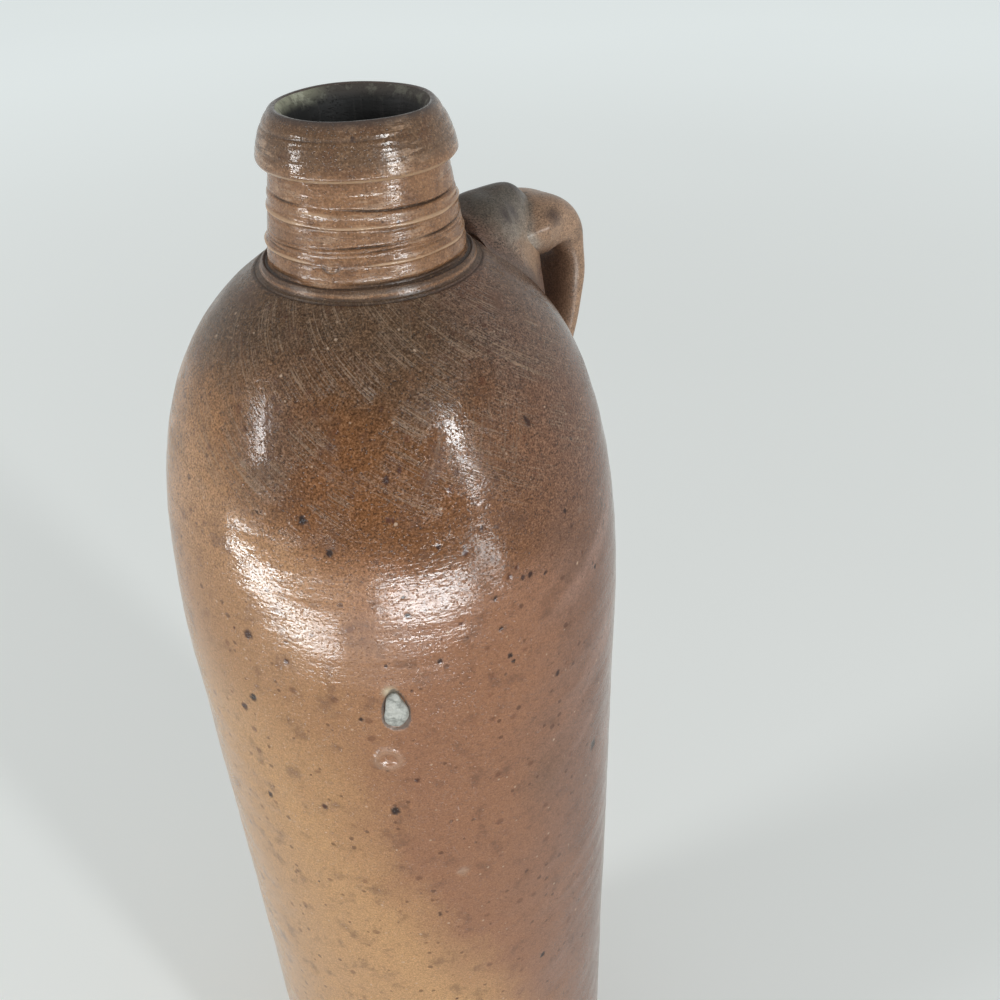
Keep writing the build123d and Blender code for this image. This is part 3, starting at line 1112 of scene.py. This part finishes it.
# %% Shared effect: the peel of a salt glaze
mottle_middle = 0.543
peel, into, outof = effect(
    "salt_peel", {"Cells": 1500.0, "Depth": 0.05, "Gloss": 0.3}, ("Height", "Roughness", "Mottle")
)
where = into["Vector"]
lying = vectors("MULTIPLY", where, (1.0, 1.0, 1.5))
dimple = step(cells_in(lying, into["Cells"], 700.0, 0.0006)["Distance"], 0.0, 0.34)
leather = noise(lying, 950.0)
grain = noise(where, 2900.0, 3.0, 0.75)
rougher = span(noise(where, 160.0), -0.14, 0.14)
pinholes = (1.0 - dimple) * 0.16
((leather + dimple * 1.1) * into["Depth"]).to(outof["Height"])
sums("ADD", into["Gloss"] + rougher, pinholes, clamp=True).to(outof["Roughness"])
(grain * 0.75 + leather * 0.15 + dimple * 0.1).to(outof["Mottle"])
print("group:", peel.name)

# %% [markdown]
# Iron grains in the clay melt to dark specks, and grains of lime or grog show as pale flecks.
# Both are cells with a dot in some of them: the cell's own random value decides whether there
# is a dot and how large it is.

# %% Shared effect: specks
specks, into, outof = effect("specks", {"Cells": 400.0, "Share": 0.3, "Size": 0.3}, ("Mask",))
cells = cells_in(into["Vector"], into["Cells"], 1800.0, 0.0004)
draw = Signal(put(specks, "SeparateColor", {0: cells["Color"]}).outputs[0])
over = draw - (1.0 - into["Share"])
inside_dot = over / into["Share"] * into["Size"] - cells["Distance"]
sums("MULTIPLY", inside_dot, 9.0, clamp=True).to(outof["Mask"])
print("group:", specks.name)

# %% [markdown]
# Tool and finger marks run round the jug as a screw. To draw them, the point's direction from
# the axis is turned by an angle that grows with the height, so a line that is straight in the
# turned space winds round the jug. Noise that is stretched along such lines gives the drags.

# %% Shared effect: drag marks
drags, into, outof = effect(
    "drag_marks", {"Twist": 45.0, "Lines": 22.0, "Climb": 60.0}, ("Mask", "Soft")
)
climbed = axis(into["Vector"], 2)
turning = {"Vector": from_axis(into["Vector"]), "Angle": climbed * into["Twist"]}
wound = put(drags, "VectorRotate", turning, rotation_type="Z_AXIS")
lined = vectors("MULTIPLY", Signal(wound.outputs[0]), into["Lines"])
raised = put(drags, "CombineXYZ", {2: climbed * into["Climb"]})
soft = noise(vectors("ADD", lined, Signal(raised.outputs[0])), 1.0, 3.0, 0.65)
step(soft, 0.5, 0.72).to(outof["Mask"])
soft.to(outof["Soft"])
print("group:", drags.name)

# %% [markdown]
# Each finish is a material with one Principled shader, with the shader's constant values on its
# own sockets. Two more helpers lay a mottling and specks over a colour, because nearly every
# finish has them.

# %% A material and its shader


def finish_named(name):
    """A material with an empty node tree, and the object's own coordinates in it."""
    material = bpy.data.materials.new(name)
    material.use_nodes = True
    material.node_tree.nodes.clear()
    return material, Signal(put(material.node_tree, "TexCoord").outputs["Object"])


def dress(pieces, material, shade, roughness, height=0.0, specular=0.35, **constants):
    """Ends a material with its shader and a bump in millimetres, and gives it to the pieces."""
    tree = material.node_tree
    bump = put(tree, "Bump", {"Strength": 1.0, "Distance": MM, "Height": height})
    inputs = {"Base Color": shade, "Roughness": roughness, "Normal": Signal(bump.outputs[0])}
    shader = put(tree, "BsdfPrincipled", {**inputs, "Specular IOR Level": specular, **constants})
    put(tree, "OutputMaterial", {"Surface": Signal(shader.outputs[0])}, location=(300, 0))
    for piece in pieces:
        piece.data.materials.append(material)
    print(material.name, "on", ", ".join(piece.name for piece in pieces))


def mottled(shade, mottle, least=0.0):
    """A colour times a mottling, which is kept above a least value."""
    mottle = sums("MAXIMUM", mottle, least)
    grey = put(shade.tree, "CombineColor", {channel: mottle for channel in range(3)})
    return mix(1.0, shade, Signal(grey.outputs[0]), "MULTIPLY")


def speckled(shade, where, cells, share, size, strength, colour):
    """A colour with one kind of specks over it."""
    dots = use(specks, where, Cells=cells, Share=share, Size=size)["Mask"]
    return mix(dots * strength, shade, colour)


# %% [markdown]
# The colours come from the kiln. One side faced the fire and went mauve and brown, the far side
# stayed tan and ochre, and ash fell on the shoulder and dulled it. The zones are soft steps in
# the height and in the direction from the axis, roughened with noise, so they have no seam
# behind the jug. They are a group too, because the smeared edges of the handle share them.

# %% Shared effect: colours of the kiln
fire_azimuth = camera_azimuth + 90
pink_brown = (152, 107, 79)
tan = (170, 127, 89)
ochre = (191, 147, 102)
orange_brown = (116, 73, 38)
ash = (88, 66, 48)
mauve = (110, 82, 70)
pale_mauve = (160, 126, 110)
soot = (108, 74, 56)

kiln, into, outof = effect("kiln_zones", {}, ("Shade", "Ashy"))
where = into["Vector"]
level = axis(where, 2) / MM
to_fire = towards(from_axis(where), fire_azimuth)
drift = noise(where, 38.0, 4.0, 0.55) - 0.5
side_to_fire = drift * 0.7 + to_fire
cloudy_level = drift * 26.0 + level
fire_side = step(to_fire, 0.35, 0.8)

shade = mix(step(side_to_fire, 0.05, -0.6), pink_brown, tan)
ochre_share = step(level * -0.0091 + 1.40 - side_to_fire, -0.14, 0.38)
shade = mix(ochre_share * step(level, 225.0, 195.0), shade, ochre)
lower_by_fire = sums("MAXIMUM", to_fire, 0.0) * 16.0 + cloudy_level
lower_by_fire = sums("MINIMUM", to_fire + 0.3, 0.0) * 24.0 + lower_by_fire
toasted = step(lower_by_fire, 234.0, 247.0) * span(step(side_to_fire, -0.9, -0.55), 0.4, 1.0)
shade = mix(toasted, shade, orange_brown)
ashy = step(cloudy_level, 254.0, 271.0)
shade = mix(ashy, shade, ash)
shade = mix(step(side_to_fire, 0.2, 0.95) * 0.72, shade, mauve)
sooty = step(noise(where, 45.0, 3.0), 0.5, 0.68) * fire_side
shade = mix(sooty * 0.4, shade, soot)
# The pale mauve streaks on the fire side are streaky clay colour and partly a painted sheen along
# the jug's edge on that side.
streaks = use(drags, where, Twist=-40.0, Lines=1.8, Climb=24.0)
pale_streaks_and_sheen = step(drift * 0.5 + streaks["Soft"], 0.45, 0.68) * fire_side * step(level, 245.0, 225.0)
mix(pale_streaks_and_sheen * 0.5, shade, pale_mauve).to(outof["Shade"])
ashy.to(outof["Ashy"])
print("group:", kiln.name)

# %% [markdown]
# Over the zones lie the small things: mottling with the peel, drag marks on the shoulder that
# cross each other, dark and pale specks, and the flaws that were placed with the mesh. The same
# masks shape the bump, so a spot is a shallow pit and a drag is a scratch.

# %% Finish of the belly and shoulder
glaze, where = finish_named("salt_glazed_belly")
zones = use(kiln, where)
level = axis(where, 2) / MM
skin = use(peel, where, Depth=0.06, Gloss=0.14)
grainy = skin["Mottle"] - mottle_middle
upper = step(level, 222.0, 250.0)
shade = mix(mark(where, "smoke") * 0.55, zones["Shade"], (94, 78, 66))
shade = mottled(shade, grainy * (upper * 4.0 + 2.4) + 1.02, 0.3)
# Pale grains: partly the glaze's own grain, partly painted glints.
shade = mix(step(skin["Mottle"], 0.57, 0.7) * 0.38 * upper, shade, (168, 138, 110))
shade = mix(step(noise(where, 210.0, 3.0, 0.6), 0.52, 0.72) * 0.45, shade, (96, 66, 50))

scrape = use(drags, where, Twist=42.0, Lines=92.0, Climb=130.0)
scraped = step(grainy * 0.6 + scrape["Soft"], 0.5, 0.63) * step(level, 240.0, 254.0)
scraped = scraped * step(noise(where, 140.0, 3.0), 0.4, 0.6)
shade = mix(scraped * 0.6, shade, (160, 134, 110))
crossing = use(drags, where, Twist=-14.0, Lines=80.0, Climb=110.0)
crossed = crossing["Mask"] * step(noise(where, 60.0), 0.5, 0.64) * step(level, 244.0, 256.0)
shade = mix(crossed * 0.35, shade, (150, 130, 110))

high_up = step(level, 225.0, 250.0)
shade = speckled(shade, where, 230.0, 0.35, 0.22, high_up * 0.4, (170, 148, 128))
shade = speckled(shade, where, 520.0, 0.3, 0.36, 0.6, (72, 42, 28))
shade = speckled(shade, where, 280.0, 0.4, 0.3, 0.5, (96, 56, 38))
shade = speckled(shade, where, 640.0, 0.22, 0.24, 0.65, (208, 180, 154))

iron = step(noise(where, 1100.0) * 0.6 + (mark(where, "iron") - 0.3), 0.42, 0.86)
rust = mix(step(noise(where, 75.0), 0.42, 0.6), (36, 22, 20), (84, 46, 30))
shade = mix(iron * 0.95, shade, rust)
shade = mix(mark(where, "rim") * 0.55, shade, (205, 172, 146))
shade = mix(mark(where, "lime") * 0.75, shade, (205, 194, 168))
# A dark ring round the pebble's pit: partly a dark rim of the clay, partly painted shade in the
# gap round the stone.
uneven_rim = noise(where, 420.0) * 1.2 - 0.7
pit_rim_and_shade_share = step(mark(where, "pit_rim_and_shade") + uneven_rim, 0.25, 0.8)
shade = mix(pit_rim_and_shade_share * 0.8, shade, (70, 62, 54))
shade = mix(mark(where, "groove") * 0.7, shade, (62, 50, 42))
shade = mix(mark(where, "inside"), shade, (120, 104, 88))

dulled = zones["Ashy"] * 0.6 + mark(where, "groove") + pit_rim_and_shade_share * 2.0
roughness = sums("ADD", dulled * 0.2, skin["Roughness"], clamp=True)
throwing = use(drags, where, Twist=9.0, Lines=2.2, Climb=900.0)
height = skin["Height"] + scraped * 0.07 + throwing["Soft"] * 0.04 - iron * 0.02
dress((belly, shoulder), glaze, shade, roughness, height, specular=0.27)

# %% [markdown]
# The neck and lip are redder and glossier than the belly, because the salt reached them first.
# The turning grooves are painted dark, and at the neck's foot and in the cordon's furrow that
# dark is painted shade. The ridges and the lip's lower edge are painted pale as painted
# highlight, and pale patches along the turning marks are a painted sheen. The mouth's inside is
# bare of salt and painted near black as painted shade. One side of its rim is painted pale:
# partly a grey-green crust, partly painted light where light falls on the bevel.

# %% Finish of the neck, cordon and lip
turned_glaze, where = finish_named("turned_neck_glaze")
level = axis(where, 2) / MM
skin = use(peel, where, Cells=1900.0, Depth=0.085, Gloss=0.2)
wheel = use(drags, where, Twist=4.0, Lines=2.6, Climb=1300.0)
grooves_and_painted_light = mark(where, "groove")
in_groove = step(grooves_and_painted_light, 0.15, 0.9)
shade = mix(step(level, lip_foot + 0.2, lip_foot + 3.5), (142, 104, 74), (106, 80, 59))
# A painted sheen: pale patches along the turning marks stand in for the broad gloss on the neck.
painted_neck_sheen = step(noise(where, 140.0, 3.0), 0.46, 0.62) * 0.6 * step(wheel["Soft"], 0.44, 0.6)
shade = mix(painted_neck_sheen, shade, (190, 158, 130))
shade = mix(wheel["Mask"] * 0.4, shade, (88, 60, 42))
shade = mix(step(noise(where, 260.0, 4.0, 0.65), 0.48, 0.66) * 0.5, shade, (100, 68, 48))
shade = mottled(shade, (skin["Mottle"] - mottle_middle) * 3.0 + 1.02, 0.35)
# Dark in the turning grooves. At the neck's foot and in the cordon's furrow this dark is painted
# shade.
shade = mix(in_groove * 0.9, shade, (58, 42, 31))
# Pale grains: partly the glaze's own grain, partly painted glints.
shade = mix(step(skin["Mottle"], 0.58, 0.7) * 0.4, shade, (178, 144, 112))
# The ridges are painted pale as a painted highlight, where they catch the light. The lip's lower
# edge line comes through here too.
shade = mix(step(grooves_and_painted_light, -0.2, -0.7) * 0.75, shade, (198, 164, 132))
shade = speckled(shade, where, 450.0, 0.22, 0.24, 0.8, (58, 42, 38))
shade = mix(mark(where, "crest") * 0.85, shade, (70, 62, 59))

# The deep inside is painted near black as painted shade. One side of the rim is painted pale:
# partly a grey-green crust with mould, partly painted light where light falls on the bevel.
pale_rim_azimuth = camera_azimuth - 100
runs = use(drags, where, Twist=0.0, Lines=16.0, Climb=60.0)
mouth_shade = mix(runs["Mask"] * 0.5, (20, 19, 18), (50, 48, 45))
lit_and_crusted_side = step(towards(where, pale_rim_azimuth), 4 * MM, 11.5 * MM)
lit_and_crusted_rim = lit_and_crusted_side * span(step(noise(where, 450.0, 3.0), 0.35, 0.6), 0.35, 1.0)
rim_shade = mix(lit_and_crusted_rim, (66, 60, 54), (156, 156, 134))
mouth_shade = mix(step(level, 297.2, 299.5), mouth_shade, rim_shade)
mould = step(noise(where, 320.0, 4.0, 0.7), 0.5, 0.64) * step(level, 296.8, 299.0)
mouth_shade = mix(mould * (lit_and_crusted_side * 0.45 + 0.12), mouth_shade, (196, 198, 176))
shade = mix(mark(where, "inside"), shade, mouth_shade)

dulled = in_groove * 0.2 + skin["Roughness"]
roughness = sums("ADD", mark(where, "inside") * 0.5, dulled, clamp=True)
height = wheel["Soft"] * 0.09 + skin["Height"]
dress((neck, cordon, lip), turned_glaze, shade, roughness, height, specular=0.4)

# %% [markdown]
# Ash lies on the handle's root as on the shoulder, darkest on its crown, and the pulled strap
# beyond it is clean tan clay with a thin glaze. The marks that were kept with the meshes tell
# the two apart, and fade the smeared edges into the colours of the shoulder.

# %% Finish of the handle
pulled_clay, where = finish_named("pulled_handle_glaze")
skin = use(peel, where, Depth=0.045, Gloss=0.36)
cloud = noise(where, 120.0, 4.0, 0.6)
drift = cloud - 0.5
crown = step(axis(where, 2) / MM, 270.0, 278.5)
wad_shade = mix(crown, (152, 139, 126), (88, 80, 71))
ear = step(drift * 1.3 + mark(where, "ear"), 0.3, 0.85)
shade = mix(ear, wad_shade, (154, 124, 100))
shade = mix(step(cloud, 0.48, 0.68) * 0.45, shade, (92, 70, 56))
# Painted shade: the strap's inner face and the tail under the strap are darker, on the strap
# partly its own darker clay.
shade = mix(mark(where, "under") * 0.8, shade, (84, 58, 46))
skirt = step(drift * 0.6 + mark(where, "skirt"), 0.15, 0.85)
shoulder_shade = mix(mark(where, "smoke") * 0.55, use(kiln, where)["Shade"], (94, 82, 72))
shade = mix(skirt, shade, shoulder_shade)
shade = mottled(shade, (skin["Mottle"] - mottle_middle) * (skirt * 3.2 + 4.0) + 1.0)
shade = speckled(shade, where, 330.0, 0.25, 0.22, 0.6, (60, 44, 40))
shade = mix(mark(where, "iron") * 0.75, shade, (58, 46, 46))
dress((root, strap, tail), pulled_clay, shade, skin["Roughness"], skin["Height"])

# %% [markdown]
# The underside never saw the salt. It is dry, sandy clay, painted darker in the furrows of the
# wire cut. The pebble is a lump of quartz or lime, chalky white with grey cracks, and a darker
# rim that is partly painted shade where it curves into its pit.

# %% Finishes of the base and the pebble
bare_clay, where = finish_named("bare_clay")
sand = noise(where, 1600.0, 4.0, 0.7)
shade = mix(step(noise(where, 70.0, 3.0), 0.35, 0.7), (186, 156, 124), (158, 120, 92))
# Darker in the furrows of the wire cut.
shade = mix(mark(where, "cut") * 0.4, shade, (120, 92, 72))
shade = speckled(shade, where, 500.0, 0.3, 0.25, 0.7, (74, 56, 48))
dress((base,), bare_clay, shade, span(sand, 0.7, 0.95), sand * 0.12, specular=0.3)

chalk, where = finish_named("chalky_stone")
crystal = noise(where, 900.0, 4.0, 0.65)
shade = mix(crystal, (150, 150, 142), (216, 216, 208))
shade = mix(step(noise(where, 620.0, 5.0, 0.7), 0.46, 0.64) * 0.75, shade, (104, 106, 98))
# The darker rim is partly the stone's colour and partly painted shade at its edge.
shade = mix(mark(where, "edge") * 0.6, shade, (104, 98, 86))
dress((pebble,), chalk, shade, span(crystal, 0.45, 0.75), crystal * 0.25, specular=0.4)

# %% [markdown]
# The jug stands on a plain pale table in soft light. A wide floor takes the shadow. It glows a
# little for the eye and for reflections, more so far away, because the real table runs on into
# a white backdrop. The world is a room: pale at the horizon and dimmer overhead.

# %% Floor and world
floor_half = 4000.0 * MM
floor_corners = [
    (x * floor_half, y * floor_half, 0.0) for x, y in ((-1, -1), (1, -1), (1, 1), (-1, 1))
]
floor_mesh = bpy.data.meshes.new("floor")
floor_mesh.from_pydata(floor_corners, [], [(0, 1, 2, 3)])
floor = bpy.data.objects.new("floor", floor_mesh)
bpy.context.scene.collection.objects.link(floor)
table, where = finish_named("pale_table")
tone = noise(where, 3.0)
seen = signals(put(where.tree, "LightPath"))
looked_at = sums("MAXIMUM", seen["Is Glossy Ray"], seen["Is Transmission Ray"])
looked_at = sums("MAXIMUM", seen["Is Camera Ray"], looked_at)
far_away = step(vectors("LENGTH", where), 0.2, 1.8)
glow = mix(looked_at, (0, 0, 0), mix(far_away, (120, 119, 116), (165, 170, 170)))
table_shade = mix(tone, (222, 226, 225), (226, 230, 229))
shining = {"Emission Color": glow, "Emission Strength": 1.0}
dress((floor,), table, table_shade, span(tone, 0.55, 0.6), specular=0.0, **shining)

world = bpy.data.worlds.new("studio")
bpy.context.scene.world = world
world.use_nodes = True
room = world.node_tree
room.nodes.clear()
way_up = axis(Signal(put(room, "TexCoord").outputs["Generated"]), 2)
room_shade = mix(step(way_up, 0.0, 0.75), (224, 227, 226), (162, 165, 166))
sky = put(room, "Background", {"Color": room_shade, "Strength": 1.0})
put(room, "OutputWorld", {"Surface": Signal(sky.outputs[0])})
bpy.context.scene.view_settings.view_transform = "Standard"
print("floor and world made")

# %% [markdown]
# Soft lamps make the highlights that a glazed jug shows: two at the sides, which draw the
# upright streaks on the shoulder, and low ones in front, which draw the broad patches under
# it and the faint haze between them. Only the two windows light the clay. The others are cool
# white cards for the gloss alone, one of them a gleam beside the right window. Each is placed
# by its direction from the jug and aimed at it.

# %% Lamps
aim_point = np.array((0.0, 0.0, 0.22))
card_tint = (0.9, 0.97, 1.0)


def lamp(name, azimuth, distance, height, width, tall, roll, brightness, lights_clay):
    """An area lamp at an azimuth, distance and height in mm, aimed at the jug's shoulder.

    It is oval, so that its highlights have no corners. Its watts are its brightness times pi
    times its area, so that a brightness of 1 is white.
    The roll in degrees tips its top to the left, as seen from the jug. A lamp that doesn't
    light the clay is a card with a tint of its own, which only the gloss shows.
    """
    data = bpy.data.lights.new(name, "AREA")
    data.shape = "ELLIPSE"
    data.size, data.size_y = width * MM, tall * MM
    data.energy = brightness * np.pi * (np.pi / 4 * data.size * data.size_y)
    data.color = (1.0, 1.0, 1.0) if lights_clay else card_tint
    light = bpy.data.objects.new(name, data)
    bpy.context.scene.collection.objects.link(light)
    spot = beside(azimuth, distance, height)
    back = spot - aim_point
    back = back / np.linalg.norm(back)
    across = np.cross((0.0, 0.0, 1.0), back)
    across = across / np.linalg.norm(across)
    upright = np.cross(back, across)
    square = Matrix([(across[i], upright[i], back[i], spot[i]) for i in range(3)] + [(0, 0, 0, 1)])
    light.matrix_world = square @ Matrix.Rotation(np.radians(roll), 4, "Z")
    light.visible_camera = False
    light.visible_diffuse = lights_clay


# azimuth from the camera's, distance, height, width, tall, roll, brightness, lights the clay
lamps = {
    "left_window": (-76, 1600, 760, 115, 800, 30.0, 42.0, True),
    "right_window": (38, 1600, 660, 130, 1100, 4.0, 32.0, True),
    "right_gleam": (36, 1600, 820, 130, 1150, 4.0, 32.0, False),
    "low_left": (-58, 330, 90, 340, 40, -19.0, 34.0, False),
    "low_front": (9, 330, 106, 280, 48, 0.0, 38.0, False),
    "low_right": (38, 330, 145, 100, 34, -40.0, 18.0, False),
    "low_haze": (-16, 345, 62, 420, 120, 0.0, 2.8, False),
}
for lamp_name, (from_camera, *rest) in lamps.items():
    lamp(lamp_name, camera_azimuth + from_camera, *rest)
print("lamps:", ", ".join(lamps))
